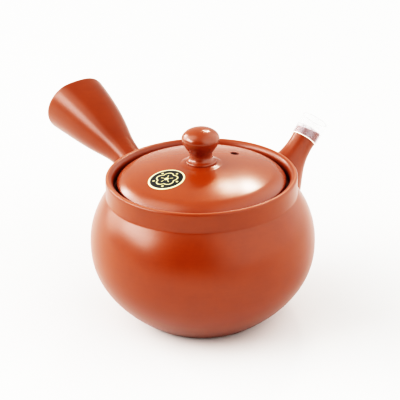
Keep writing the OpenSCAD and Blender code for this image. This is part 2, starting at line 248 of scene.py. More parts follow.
def makePaper(name, radius):
    look, soft = labelLook, labelLook["soft"]
    made, shader, place = newMaterial(name, {"Specular IOR Level": look["gloss"]})
    x, y = [axis / (radius * mm) for axis in place.axes()[:2]]
    far = (x * x + y * y) ** 0.5
    turn = place.math("ARCTAN2", y, x) * (look["petals"] / 2)
    bow, cross = place.math("COSINE", turn).size(), place.math("SINE", turn).size()

    # 1 between two shares of the radius
    def zone(low, high):
        return far.step(low, low + soft) * (1 - far.step(high, high + soft))

    middle, swing = look["petal"]
    blossom = 1 - (far - (middle + swing * bow)).size().step(*look["outline"])
    heart = 1 - far.step(look["heart"], look["heart"] + soft)
    rays = (1 - cross.step(*look["rayWidth"])) * zone(*look["ray"])
    dots = (1 - bow.step(*look["dotWidth"])) * zone(*look["dots"])
    motif = blossom.most(heart).most(rays.most(dots))
    border = far.step(*look["borderFrom"])
    foil = motif.most(border)
    paper = place.noise(look["paper"], 3.0)
    ink = motif.between(look["field"], look["gold"])
    border.between(ink, look["border"]).to(shader, "Base Color")
    rough = look["rough"] - look["foilSmooth"] * foil + look["paperRough"] * (paper - 0.5)
    rough.to(shader, "Roughness")
    (paper * look["paperHeight"] + foil).relief(shader, look["depth"], look["strength"])
    return made


vinylLook = {
    # the cut end's pale colour and its glow are a painted highlight
    "clear": (0.93, 0.94, 0.93, 1), "onClay": (0.46, 0.37, 0.39, 1), "cutEnd": (0.96, 0.92, 0.80, 1),
    # the far end's grey is painted shade
    "farEnd": (0.5, 0.5, 0.5, 1), "dark": (0, 0, 0, 1), "glow": (1, 0.94, 0.80, 1),
    "cloud": 3.0, "pleat": 4.5, "pleatSpan": (0.34, 0.62), "edgeBlend": 0.35, "edgePower": 2.5,
    "cutSpan": (0.3, 0.5), "farSpan": (-0.4, -0.1), "tipSpan": (-0.2, 0.2),
    "gloss": 0.6, "glowStrength": 0.2, "rough": 0.10, "roughCloud": 0.08,
    "pleatHeight": 0.5, "depth": 0.05, "strength": 0.4,
}
# how much of what lies behind the tube each thing hides
vinylVeil = {
    "all": 0.04, "onClay": 0.12, "pleat": 0.08, "pleatOnClay": 0.22, "cloud": 0.06, "edge": 0.4,
    "cutEnd": 0.9, "farEnd": 0.3,
}


def makeVinyl(name, axis, lowEnd, tip, highEnd):
    look, veil = vinylLook, vinylVeil
    fixed = {"Specular IOR Level": look["gloss"], "Emission Strength": look["glowStrength"]}
    made, shader, place = newMaterial(name, fixed)
    reach = place.dot(axis)
    shift = place.node("ShaderNodeVectorMath", {"operation": "SCALE"}, {0: axis, "Scale": reach})
    across = place.node("ShaderNodeVectorMath", {"operation": "SUBTRACT"}, {0: place, 1: shift})

    # a step along the tube, over a span about a spot
    def past(spot, span):
        return (reach / mm).step(spot + span[0], spot + span[1])

    cutEnd = 1 - past(lowEnd, look["cutSpan"])  # painted highlight: the cut end is painted pale and made to glow
    # the far end is painted grey: painted shade at the tube's far end
    farEnd = past(highEnd, look["farSpan"])
    onClay = 1 - past(tip, look["tipSpan"])  # pressed on the spout it looks greyer
    facing = place.node("ShaderNodeLayerWeight", {}, {"Blend": look["edgeBlend"]}, "Facing")
    cloud = place.noise(look["cloud"], 2.0)
    pleat = across.noise(look["pleat"], 1.0).step(*look["pleatSpan"])  # drawn along the tube
    hidden = veil["all"] + veil["onClay"] * onClay
    hidden = hidden + (veil["pleat"] + veil["pleatOnClay"] * onClay) * pleat
    hidden = hidden + veil["cloud"] * (cloud - 0.5) + veil["edge"] * facing ** look["edgePower"]
    (hidden + veil["cutEnd"] * cutEnd + veil["farEnd"] * farEnd).to(shader, "Alpha")
    tint = cutEnd.between(onClay.between(look["clear"], look["onClay"]), look["cutEnd"])
    farEnd.between(tint, look["farEnd"]).to(shader, "Base Color")
    # painted glow on the cut end, though it is no lamp
    cutEnd.between(look["dark"], look["glow"]).to(shader, "Emission Color")
    (look["rough"] + look["roughCloud"] * cloud).to(shader, "Roughness")
    (cloud + look["pleatHeight"] * pleat).relief(shader, look["depth"], look["strength"])
    return made


# Outlines

def line(start, end, step):
    start, end = Vector(start), Vector(end)
    count = max(2, math.ceil((end - start).length / step))
    return [start.lerp(end, i / count) for i in range(count + 1)]


def bezier(points, steps):
    a, b, c, d = [Vector(p) for p in points]
    out = []
    for i in range(steps + 1):
        t = i / steps
        s = 1 - t
        out.append(a * s ** 3 + b * (3 * t * s ** 2) + c * (3 * t * t * s) + d * t ** 3)
    return out


def arc(x, y, radius, start, end, steps):
    turns = [math.radians(start + (end - start) * i / steps) for i in range(steps + 1)]
    return [Vector((x + radius * math.cos(a), y + radius * math.sin(a))) for a in turns]


# a round corner from start to end, by the point where the edges would meet
def softCorner(start, corner, end, t):
    return start * (1 - t) ** 2 + corner * (2 * t * (1 - t)) + end * t * t


def flare(x0, r0, x1, r1, pulls, steps):
    return bezier([(x0, r0), (x0 + pulls[0] * (x1 - x0), r0),
                   (x0 + pulls[1] * (x1 - x0), r0 + pulls[2] * (r1 - r0)), (x1, r1)], steps)


# a stroke without its last stretch of that length
def trimmed(stroke, reach):
    points = list(stroke)
    while len(points) > 1:
        gap = (points[-1] - points[-2]).length
        if gap > reach:
            points[-1] = points[-1].lerp(points[-2], reach / gap)
            return points
        reach -= gap
        points.pop()
    return points


# one outline from strokes that meet in corners, each rounded over its reach
def joined(strokes, reaches):
    points = list(strokes[0])
    for stroke, reach in zip(strokes[1:], reaches):
        corner = points[-1]
        points = trimmed(points, reach)
        rest = trimmed(stroke[::-1], reach)[::-1]
        start, end = points[-1], rest[0]
        points += [softCorner(start, corner, end, t) for t in (0.2, 0.4, 0.6, 0.8)]
        points += rest
    return points


# strokes along corner points, each with its own step
def strokesAlong(corners, steps):
    return [line(a, b, step) for a, b, step in zip(corners, corners[1:], steps)]


def anglesRound(sides):
    return [2 * math.pi * k / sides for k in range(sides)]


# Meshes

def buildPiece(name, points, faces, look, sharp=32):
    shape = bmesh.new()
    made = [shape.verts.new(Vector(p) * mm) for p in points]
    for face in faces:
        shape.faces.new([made[i] for i in face])
    bmesh.ops.recalc_face_normals(shape, faces=shape.faces)
    data = bpy.data.meshes.new(name)
    shape.to_mesh(data)
    shape.free()
    data.materials.append(look)
    piece = bpy.data.objects.new(name, data)
    bpy.context.collection.objects.link(piece)
    smoothed(piece, sharp)
    return piece


def smoothed(piece, sharp=32):
    piece.data.shade_smooth()
    piece.data.set_sharp_from_angle(angle=math.radians(sharp))


# points and faces of rings joined in order; a ring of one point closes an end
def rungs(rings, closed=False):
    points, faces, starts = [], [], []
    for ring in rings:
        starts.append(len(points))
        points += ring
    pairs = [(i, i + 1) for i in range(len(rings) - 1)]
    if closed:
        pairs.append((len(rings) - 1, 0))
    for i, j in pairs:
        a, b, n = starts[i], starts[j], max(len(rings[i]), len(rings[j]))
        for k in range(n):
            m = (k + 1) % n
            if len(rings[i]) == 1:
                faces.append((a, b + m, b + k))
            elif len(rings[j]) == 1:
                faces.append((a + k, a + m, b))
            else:
                faces.append((a + k, a + m, b + m, b + k))
    return points, faces


# rings turned from a half outline of (radius, height)
def turned(outline, sides, spot=Matrix.Identity(4)):
    angles = anglesRound(sides)
    rings = []
    for p in outline:
        if p.x < 1e-6:
            rings.append([spot @ Vector((0, 0, p.y))])
        else:
            rings.append([spot @ Vector((p.x * math.cos(a), p.x * math.sin(a), p.y)) for a in angles])
    return rings


def carve(piece, cutter):
    cut = piece.modifiers.new("cut", "BOOLEAN")
    cut.object = cutter
    cut.operation = "DIFFERENCE"
    cut.solver = "EXACT"
    graph = bpy.context.evaluated_depsgraph_get()
    whole = bpy.data.meshes.new_from_object(piece.evaluated_get(graph))
    piece.modifiers.clear()
    piece.data = whole
    bpy.data.objects.remove(cutter)
    smoothed(piece)


def settle(piece, body, node):
    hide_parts(node)
    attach(piece, body)
    print("scene:", piece.name, len(piece.data.polygons), "faces")


# a frame at a point, with its Z along a direction
def spotAt(origin, direction):
    spot = Vector(direction).to_track_quat("Z", "Y").to_matrix().to_4x4()
    spot.translation = Vector(origin)
    return spot


# a clay that varies in roughness across 0.27 would show dark dots
# each piece gets its own copy of the clay, painted a little lighter or darker by its shade to suit the
# light that falls on it
clay = makeClay("redClay", shade=0.95)
handleClay = makeClay("handleClay", shade=0.83, gloss=0.38)  # painted shade: a darker copy of the clay for the handle
lidClay = makeClay("lidClay", shade=1.01, gloss=0.70, rough=0.25)
knobClay = makeClay("knobClay", shade=0.95, gloss=0.72, rough=0.22)  # polished by fingers
steel = makeSteel("ringSteel", rough=0.28)
screenSteel = makeSteel("screenSteel", rough=0.35)
print("scene: materials made")

# Pot

pot = {
    "bellyR": 55.0, "bellyZ": 38.8, "footR": 30.8, "swell": 2.27, "creaseZ": 63.5,
    "collarR": 46.3, "rimZ": 73.3, "lipT": 3.8, "lipOut": 1.2, "lipDrop": 3.4,
    "ledgeZ": 66.8, "ledgeIn": 37.8, "wall": 4.0, "floorZ": 5.0,
    "hollow": (26.6, 27.4, 0.35),  # under the foot: from and to in radius, and depth
    "pourHole": (8.5, 14), "pourSeat": (10.6, 9),  # radius and reach
    "throwing": (0.10, 1.9, 0.37),  # depth and two rhythms of the finger rings inside
    "corners": (0.3, 0.3, 1.0, 0.5, 0.5, 0.5, 4.0),  # rounding, from the foot over the lip to the floor
    "rows": 44, "sides": 192,
}
drop = pot["bellyR"] - pot["collarR"]
rise = pot["creaseZ"] - pot["bellyZ"]
shoulderR = (drop ** 2 + rise ** 2) / (2 * drop)
shoulderX = pot["bellyR"] - shoulderR


def lowerR(z):
    share = (1 - z / pot["bellyZ"]) ** pot["swell"]
    return pot["bellyR"] - (pot["bellyR"] - pot["footR"]) * share


def slopeOf(curve, z, gap):
    return (curve(z + gap) - curve(z - gap)) / (2 * gap)


def potR(z):
    if z < pot["bellyZ"]:
        return lowerR(max(z, 0))
    if z < pot["creaseZ"]:
        return shoulderX + math.sqrt(shoulderR ** 2 - (z - pot["bellyZ"]) ** 2)
    return pot["collarR"]


# how far a point lies outside the pot
def outside(p):
    return math.hypot(p.x, p.y) - potR(p.z)


def potNormal(p):
    slope = slopeOf(potR, p.z, 0.05)
    return Vector((p.x, p.y, -slope * math.hypot(p.x, p.y))).normalized()


def makePot():
    inner = pot["collarR"] - pot["lipT"]
    crest = pot["collarR"] - pot["lipOut"]
    lipZ = pot["rimZ"] - pot["lipOut"]
    heights = [pot["bellyZ"] * i / pot["rows"] for i in range(pot["rows"])]
    wall = [Vector((lowerR(z), z)) for z in heights]
    top = math.degrees(math.asin(rise / shoulderR))
    wall += arc(shoulderX, pot["bellyZ"], shoulderR, 0, top, 30)
    collar = line((pot["collarR"], pot["creaseZ"]), (pot["collarR"], lipZ), 1.0)
    collar += arc(crest, lipZ, pot["lipOut"], 0, 90, 10)[1:]
    for p in arc(0, 0, 1, 90, 180, 16)[1:]:  # the lip slopes in
        r, z = crest + p.x * (crest - inner), pot["rimZ"] - pot["lipDrop"] * (1 - p.y)
        collar.append(Vector((r, z)))
    collar += line(collar[-1], (inner, pot["ledgeZ"]), 0.8)[1:]
    ledge = line((inner, pot["ledgeZ"]), (pot["ledgeIn"], pot["ledgeZ"]), 0.8)
    # the inside, one wall in from the outside
    innerR = shoulderR - pot["wall"]
    top = math.degrees(math.acos((pot["ledgeIn"] - shoulderX) / innerR))
    within = arc(shoulderX, pot["bellyZ"], innerR, top, 0, 40)
    within = line((pot["ledgeIn"], pot["ledgeZ"]), within[0], 0.6)[:-1] + within
    for z in heights[:0:-1]:
        slope = slopeOf(lowerR, z, 0.02)
        size = math.sqrt(1 + slope ** 2)
        spot = Vector((lowerR(z) - pot["wall"] / size, z + pot["wall"] * slope / size))
        if spot.y > pot["floorZ"]:
            within.append(spot)
    deep, fast, slow = pot["throwing"]
    for p in within:
        p.x += deep * math.sin(p.y * fast) * math.sin(p.y * slow + 1)
    within.append(Vector((within[-1].x - 0.4, pot["floorZ"])))
    floor = line(within[-1], (0, pot["floorZ"]), 2.5)
    flatR, edgeR, depth = pot["hollow"]
    strokes = strokesAlong([(0, depth), (flatR, depth), (edgeR, 0), (pot["footR"], 0)],
                           [3.0, 0.3, 0.8])
    strokes += [wall, collar, ledge, within, floor]
    outline = joined(strokes, pot["corners"])
    piece = buildPiece("potBody", *rungs(turned(outline, pot["sides"])), clay)
    (holeR, out), (seatR, back) = pot["pourHole"], pot["pourSeat"]
    hole = [(0, -back), (seatR, -back), (seatR, 0), (holeR, 0), (holeR, out), (0, out)]
    rings = turned([Vector(p) for p in hole], 72, strainerSpot)
    carve(piece, buildPiece("pourCut", *rungs(rings), clay))
    return piece


spout = {
    "root": (52.4675, 0, 52.7), "tilt": 44.3, "length": 31.6, "tipR": 6.1, "tipBore": 4.3,
    "land": 7.6, "rootR": 18.4, "rootBack": 48.6, "rootWall": 3.2, "pulls": (0.34, 0.40, 0.46),
    "mouthCut": 14.0, "fillet": 2.4, "sides": 96,
}
strainer = {
    "tilt": 20.651, "flangeR": 10.4, "sleeveR": 8.45, "inR": 7.85, "sheet": 0.6, "sleeveH": 2.6,
    "bead": 0.35, "domeR": 10.18, "domeH": 4.5, "pitch": 0.62, "wireR": 0.11, "wireSides": 6,
    "overlap": 0.05, "corners": (0.1, 0.03, 0.1, 0.2, 0.12, 0.15, 0.15), "sides": 96,
}
spoutLean = math.radians(spout["tilt"])
spoutAxis = Vector((math.cos(spoutLean), 0, math.sin(spoutLean)))
spoutUp = Vector((-math.sin(spoutLean), 0, math.cos(spoutLean)))
sideways = Vector((0, 1, 0))
mouth = Vector(spout["root"]) + spoutAxis * spout["length"]
wallLean = math.radians(strainer["tilt"])
outward = Vector((math.cos(wallLean), 0, math.sin(wallLean)))
strainerSpot = spotAt(Vector(spout["root"]) - outward * pot["wall"], outward)
settle(makePot(), "pot", "body")

# Tubes luted to the wall

# fillet steps, and how deep in the wall the fillet ends and the tube's edge is sunk
luting = {"steps": 8, "below": 0.02, "sunk": 0.8}


def lengthOf(points):
    return sum((b - a).length for a, b in zip(points, points[1:]))


def atLength(points, length):
    for a, b in zip(points, points[1:]):
        gap = (b - a).length
        if length <= gap:
            return a.lerp(b, length / gap)
        length -= gap
    return points[-1].copy()


# a line of points that ends where it is that deep in the pot's wall
def untilWall(points, depth=0.0):
    for i in range(1, len(points)):
        before, after = outside(points[i - 1]) + depth, outside(points[i]) + depth
        if before > 0 >= after:
            return points[:i] + [points[i - 1].lerp(points[i], before / (before - after))]
    return points


# rows from a tube's far end to the wall, one point per side, with a luted fillet and a sunk edge
def rootRows(lines, axisPoint, count, fillet):
    steps = luting["steps"]
    rows = [[] for i in range(count + steps + 1)]
    for points in lines:
        cut = untilWall(points)
        hit = cut[-1]
        reach = lengthOf(cut) - fillet
        for i in range(count):
            rows[i].append(atLength(cut, reach * i / (count - 1)))
        start = rows[count - 1][-1]
        normal = potNormal(hit)
        away = (start - axisPoint(start)).normalized()
        away = (away - normal * away.dot(normal)).normalized()
        end = hit + away * fillet
        size = math.hypot(end.x, end.y)
        near = potR(end.z) - luting["below"]
        end = Vector((end.x * near / size, end.y * near / size, end.z))
        for i in range(1, steps + 1):
            rows[count + i - 1].append(softCorner(start, hit, end, i / steps))
        rows[count + steps].append(end - potNormal(end) * luting["sunk"])
    return rows


# Spout

def spoutPoint(back, radius, turn, slant):
    flat = spoutUp * math.cos(turn) + sideways * math.sin(turn)
    lift = -math.tan(math.radians(spout["mouthCut"])) * radius * math.cos(turn) * slant
    return mouth + spoutAxis * (lift - back) + flat * radius


def onSpoutAxis(p):
    return mouth + spoutAxis * (p - mouth).dot(spoutAxis)


def makeSpout():
    turns = anglesRound(spout["sides"])
    land, tip, bore = spout["land"], spout["tipR"], spout["tipBore"]
    rootBack, rootR, pulls = spout["rootBack"], spout["rootR"], spout["pulls"]
    outer = flare(land, tip, rootBack, rootR, pulls, 60)
    inner = flare(land, bore, rootBack, rootR - spout["rootWall"], pulls, 60)
    lipR = (tip - bore) / 2
    landSteps, lipSteps, boreSteps = 6, 12, 20
    backs = [lipR + (land - lipR) * i / landSteps for i in range(landSteps + 1)]
    course = [(back, bore) for back in backs[::-1]]  # the bore's straight end, out to the lip
    for i in range(1, lipSteps):
        a = math.pi * (1 - i / lipSteps)
        course.append((lipR - lipR * math.sin(a), bore + lipR + lipR * math.cos(a)))
    course += [(back, tip) for back in backs[:-1]]
    rings = [[spoutPoint(back, r, a, 1 - back / land) for a in turns] for back, r in course]
    lines = [[spoutPoint(p.x, p.y, a, 0) for p in outer] for a in turns]
    rings += rootRows(lines, onSpoutAxis, 30, spout["fillet"])
    lines = [untilWall([spoutPoint(p.x, p.y, a, 0) for p in inner], luting["sunk"]) for a in turns]
    for i in range(boreSteps, 0, -1):
        rings.append([atLength(points, lengthOf(points) * i / boreSteps) for points in lines])
    return buildPiece("spoutHorn", *rungs(rings, closed=True), clay)


settle(makeSpout(), "pot", "spout")

# Handle

handle = {
    "turn": 80.0, "rootZ": 50.6, "tilt": 19.5, "droop": 10.8, "length": 79.0, "rootR": 10.5,
    "rootX": -12.0, "neckR": 7.25, "neckX": 12.0, "endR": 17.45, "wall": 3.2,
    "pulls": (0.40, 0.26, 0.46), "boreStart": 10.0, "hollowX": 20.0, "sunk": 2.5,
    "flat": 0.954, "flatTurn": 84.0, "flatSoft": 14.0, "cut": 12.0, "leanStart": 20.0,
    "fillet": 2.6, "sides": 144,
}
handleFace = Matrix.Rotation(math.radians(handle["turn"]), 3, "Z")


def handleAngle(s):
    return math.radians(handle["tilt"] - handle["droop"] * s / handle["length"])


def handleAxis(s):
    bend = handle["length"] / math.radians(handle["droop"])
    first, now = handleAngle(0), handleAngle(s)
    x = potR(handle["rootZ"]) + bend * (math.sin(first) - math.sin(now))
    return handleFace @ Vector((x, 0, handle["rootZ"] + bend * (math.cos(now) - math.cos(first))))


# share of the radius left by the thumb's flat, with soft ridges at its sides
def flatShare(turn):
    soft, lean = handle["flatSoft"], math.cos(turn - math.radians(handle["flatTurn"]))
    return -math.log(math.exp(-soft) + math.exp(-soft * handle["flat"] / max(lean, 0.3))) / soft


# the rings lean towards the oblique end
def handlePoint(s, radius, turn):
    radius *= flatShare(turn)
    lean = max(0, (s - handle["leanStart"]) / (handle["length"] - handle["leanStart"])) ** 2
    s -= math.tan(math.radians(handle["cut"])) * lean * radius * math.sin(turn)
    a = handleAngle(s)
    flat = Vector((-math.sin(turn) * math.sin(a), math.cos(turn), math.sin(turn) * math.cos(a)))
    return handleAxis(s) + handleFace @ flat * radius


# the nearest point on the handle's axis, close to its root
def onHandleAxis(p):
    reach = 4
    near = handleAxis(0)
    ahead = handleAxis(reach) - near
    return near + ahead * ((p - near).dot(ahead) / reach ** 2)


def makeHandle():
    turns = anglesRound(handle["sides"])
    rootR, neckR, neckX = handle["rootR"], handle["neckR"], handle["neckX"]
    lipR, lipSteps = handle["wall"] / 2, 16
    endX = handle["length"] - lipR
    shell = flare(neckX, neckR, endX, handle["endR"], handle["pulls"], 60)
    root = bezier([(handle["rootX"], rootR), (0, rootR), (neckX / 3, neckR), (neckX, neckR)], 24)
    outer = root[:-1] + shell
    # the hollow, from its round bottom out to the lip
    inside = [p for p in shell if handle["hollowX"] < p.x < endX - lipR * 1.5]
    hollow = [Vector((p.x, p.y - handle["wall"])) for p in inside]
    bottom, firstR = handle["boreStart"], hollow[0].y
    course = [(bottom + 0.4, firstR * 0.6), (bottom + 1.6, firstR * 0.95)] + hollow
    for i in range(lipSteps):
        a = math.pi * (i / lipSteps - 0.5)
        course.append((endX + lipR * math.cos(a), handle["endR"] - lipR + lipR * math.sin(a)))
    rings = [[handlePoint(bottom, 0, 0)]]
    rings += [[handlePoint(s, r, a) for a in turns] for s, r in course]
    lines = [[handlePoint(p.x, p.y, a) for p in outer[::-1]] for a in turns]
    rings += rootRows(lines, onHandleAxis, 60, handle["fillet"])
    rings.append([handleAxis(-handle["sunk"])])
    return buildPiece("handleHorn", *rungs(rings), handleClay)


settle(makeHandle(), "pot", "handle")

# Strainer

def makeRing():
    s = strainer
    low, high = -s["sheet"], s["sleeveH"]
    beadIn, beadOut = s["sleeveR"] - s["bead"], s["sleeveR"] + s["bead"]
    strokes = strokesAlong([(s["inR"], high), (s["inR"], low), (beadIn, low)], [0.8, 0.1])
    strokes.append(arc(s["sleeveR"], low, s["bead"], 180, 360, 8))
    strokes += strokesAlong([(beadOut, low), (s["flangeR"], low), (s["flangeR"], 0),
                             (s["sleeveR"], 0), (s["sleeveR"], high), (s["inR"], high)],
                            [0.4, 0.15, 0.4, 0.8, 0.3])
    outline = joined(strokes, s["corners"])
    rings = turned(outline[:-1], s["sides"], strainerSpot)
    return buildPiece("strainerRing", *rungs(rings, closed=True), steel)


# a plain weave of wires over the dome, each a closed tube
def makeScreen():
    s = strainer
    edge = s["sleeveR"] + s["overlap"]
    turns = anglesRound(s["wireSides"])
    stepsPerPitch = 2
    points, faces = [], []

    def onDome(u, v, lift):
        depth = math.sqrt(s["domeR"] ** 2 - u * u - v * v)
        centre = Vector((0, 0, s["domeR"] - s["domeH"] - s["sheet"]))
        normal = Vector((u, v, -depth)) / s["domeR"]
        return centre + normal * (s["domeR"] - s["wireR"] * 2 + lift), normal

    count = int(edge / s["pitch"])
    for family, side in enumerate((Vector((1, 0, 0)), Vector((0, 1, 0)))):
        for i in range(-count, count + 1):
            far = i * s["pitch"]
            half = math.sqrt(edge ** 2 - far ** 2)
            steps = max(2, round(2 * half / s["pitch"] * stepsPerPitch))
            rings = []
            for k in range(steps + 1):
                along = -half + 2 * half * k / steps
                wave = math.cos(math.pi * (along / s["pitch"] + i)) * s["wireR"] * (1 - 2 * family)
                spot, normal = onDome(*((far, along) if family == 0 else (along, far)), wave)
                across = (side - normal * side.dot(normal)).normalized()
                if k == 0:
                    rings.append([strainerSpot @ spot])
                around = [across * math.cos(a) + normal * math.sin(a) for a in turns]
                rings.append([strainerSpot @ (spot + way * s["wireR"]) for way in around])
            rings.append([strainerSpot @ spot])
            more, sides = rungs(rings)
            faces += [[n + len(points) for n in face] for face in sides]
            points += more
    return buildPiece("strainerScreen", points, faces, screenSteel, 80)


settle(makeRing(), "pot", "strainer_ring")
settle(makeScreen(), "pot", "strainer_mesh")

# Lid

lid = {
    "z": 67.0, "r": 40.9, "edgeH": 3.1, "corner": 0.8, "curveR": 14.0, "slope": 47.0, "rise": 4.1,
    "t": 3.2, "tenonR": 36.9, "tenonT": 2.8, "tenonH": 4.8, "padR": 9.1, "padH": 0.6, "padSoft": 1.4,
    "ventR": 2.1, "ventAt": 22.1, "ventTurn": 0.0, "ventRim": 0.2, "ventCut": (7, 4),
    "corners": (0.5, 0.4, 0.9, 0.9, 2.0), "sides": 176,
}
# dome, tighter curve and crisp corner, each tangent to the next
lidSlope = math.radians(lid["slope"])
cornerX, cornerY = lid["r"] - lid["corner"], lid["z"] + lid["edgeH"]
curveAt = Vector((cornerX, cornerY))
curveAt -= (lid["curveR"] - lid["corner"]) * Vector((math.sin(lidSlope), math.cos(lidSlope)))
curveTop = lid["curveR"] + lid["rise"]
domeR = (curveAt.x ** 2 + curveTop ** 2 - lid["curveR"] ** 2) / (2 * lid["rise"])
domeBase = curveAt.y + lid["curveR"] + lid["rise"] - domeR
curveFrom = math.degrees(math.acos(curveAt.x / (domeR - lid["curveR"])))


def domeZ(r):
    return domeBase + math.sqrt(domeR ** 2 - r * r)


padZ = domeZ(lid["padR"]) + lid["padH"]


# a point on the dome, by its distance from the middle and its turn
def onLid(far, turn):
    a = math.radians(turn)
    return Vector((far * math.cos(a), far * math.sin(a), domeZ(far)))


def makeLid():
    flat, edge = lid["padR"], domeR * math.cos(math.radians(curveFrom))
    near, far, pull = flat - lid["padSoft"], flat + lid["padSoft"], 0.7 * lid["padSoft"]
    rows = 40
    dome = line((0, padZ), (near, padZ), 1.2)
    dome += bezier([(near, padZ), (near + pull, padZ), (far - pull, domeZ(far - pull)),
                    (far, domeZ(far))], 16)[1:]
    radii = [far + (edge - far) * i / rows for i in range(1, rows + 1)]
    dome += [Vector((r, domeZ(r))) for r in radii]
    dome += arc(curveAt.x, curveAt.y, lid["curveR"], curveFrom, 90 - lid["slope"], 14)[1:]
    dome += arc(cornerX, cornerY, lid["corner"], 90 - lid["slope"], 0, 8)[1:]
    dome += line(dome[-1], (lid["r"], lid["z"]), 0.6)[1:]
    low = lid["z"] - lid["tenonH"]
    tenonR, tenonIn = lid["tenonR"], lid["tenonR"] - lid["tenonT"]
    radii = [tenonIn * (1 - i / rows) for i in range(rows + 1)]
    under = [Vector((r, domeZ(max(r, flat)) - lid["t"])) for r in radii]
    strokes = strokesAlong([(lid["r"], lid["z"]), (tenonR, lid["z"]), (tenonR, low), (tenonIn, low),
                            under[0]], [0.6, 0.8, 0.6, 0.8])
    outline = joined([dome] + strokes + [under], lid["corners"])
    piece = buildPiece("lidDome", *rungs(turned(outline, lid["sides"])), lidClay)
    # the vent, with a softened rim
    ventR, rim, (below, above) = lid["ventR"], lid["ventRim"], lid["ventCut"]
    hole = [Vector((0, -below)), Vector((ventR, -below))]
    hole += arc(ventR + rim, -rim, rim, 180, 90, 6)
    hole += [Vector((ventR + rim, above)), Vector((0, above))]
    ventAt = onLid(lid["ventAt"], lid["ventTurn"])
    spot = spotAt(ventAt, ventAt - Vector((0, 0, domeBase)))
    carve(piece, buildPiece("ventCut", *rungs(turned(hole, 48, spot)), lidClay))
    return piece


settle(makeLid(), "lid", "lid")

knob = {
    "footR": 7.5, "footH": 1.0, "neckR": 5.35, "neckZ": 4.0, "wideR": 9.15, "wideZ": 12.0,
    "top": 17.4, "sweep": (0.2, 0.5), "taper": (0.3, 0.6), "sunk": 0.1, "corners": (0.05, 0.45),
    "sides": 112,
}


def makeKnob():
    footR, footH, neckR, neckZ = [knob[key] for key in ("footR", "footH", "neckR", "neckZ")]
    wideR, wideZ, sunk = knob["wideR"], knob["wideZ"], knob["sunk"]
    wide, high, tall = footR - neckR, neckZ - footH, wideZ - neckZ
    pull, lift = knob["sweep"]
    sweep = bezier([(footR, footH), (neckR + pull * wide, footH + pull * high),
                    (neckR, footH + lift * high), (neckR, neckZ)], 20)
    pull, lift = knob["taper"]
    sweep += bezier([(neckR, neckZ), (neckR, neckZ + pull * tall),
                     (wideR, neckZ + lift * tall), (wideR, wideZ)], 24)[1:]
    capSteps = 24
    for i in range(1, capSteps + 1):
        a = math.pi / 2 * i / capSteps
        z = wideZ + (knob["top"] - wideZ) * math.sin(a)
        sweep.append(Vector((wideR * math.cos(a), z)))
    sweep[-1].x = 0
    strokes = strokesAlong([(0, -sunk), (footR, -sunk), (footR, footH)], [1.2, 0.25])
    outline = joined(strokes + [sweep], knob["corners"])
    rings = turned(outline, knob["sides"], Matrix.Translation((0, 0, padZ)))
    return buildPiece("lidKnob", *rungs(rings), knobClay)


settle(makeKnob(), "lid", "lid_knob")

label = {
    "at": 22.1, "turn": 180.0, "face": -42.0, "r": 8.8, "t": 0.16, "edge": 0.05, "sunk": 0.02,
    "rows": 16, "sides": 96,
}


def makeLabel():
    face = math.radians(label["face"])
    middle = onLid(label["at"], label["turn"])
    radii = [label["r"] * i / label["rows"] for i in range(label["rows"] + 1)]
    angles = anglesRound(label["sides"])

    def ring(radius, lift):
        out = []
        for a in angles if radius > 0 else [0]:
            flat = Vector((radius * math.cos(a), radius * math.sin(a)))
            spot = Matrix.Rotation(face, 2) @ flat + middle.xy
            out.append(Vector((flat.x, flat.y, domeZ(spot.length) - middle.z + lift)))
        return out

    rings = [ring(r, label["t"]) for r in radii[:-1]]
    rings.append(ring(label["r"] - label["edge"], label["t"]))
    rings.append(ring(label["r"], label["t"] - label["edge"]))
    rings += [ring(r, -label["sunk"]) for r in radii[::-1]]
    piece = buildPiece("lidLabel", *rungs(rings), makePaper("labelPaper", label["r"]), 50)
    piece.location = middle * mm
    piece.rotation_euler = (0, 0, face)
    return piece


settle(makeLabel(), "lid", "lid_label")

# Tube on the spout's tip

cap = {"inR": 6.2, "outR": 6.8, "back": 5.8, "length": 11.8, "soft": 0.12, "sides": 96}


def makeCap():
    low, high = -cap["back"], cap["length"] - cap["back"]
    corners = [(cap["inR"], low), (cap["outR"], low), (cap["outR"], high), (cap["inR"], high)]
    strokes = strokesAlong(corners + corners[:1], [0.2, 0.5, 0.2, 0.5])
    outline = joined(strokes, [cap["soft"]] * 3)
    start = mouth.dot(spoutAxis)
    vinyl = makeVinyl("clearVinyl", tuple(spoutAxis), start + low, start, start + high)
    rings = turned(outline[:-1], cap["sides"], spotAt(mouth, spoutAxis))
    return buildPiece("spoutTube", *rungs(rings, closed=True), vinyl)


settle(makeCap(), "cap", "spout_cap")

# Camera, in the view's own axes: right, away, up

view = {
    "spoutTurn": -42.0, "distance": 700.0, "elevation": 26.05, "roll": 1.24, "aimZ": 40.0,
    "lens": 128.35, "sensor": 36, "picture": 400, "aimPixel": (201.92, 235.86), "clip": (0.01, 50),
}
turnBack = Matrix.Rotation(math.radians(view["spoutTurn"]), 3, "Z")


def viewDirection(azimuth, elevation):
    a, e = math.radians(azimuth), math.radians(elevation)
    return turnBack @ Vector((math.cos(a) * math.cos(e), math.sin(a) * math.cos(e), math.sin(e)))


def addObject(name, data):
    made = bpy.data.objects.new(name, data)
    bpy.context.collection.objects.link(made)
    return made


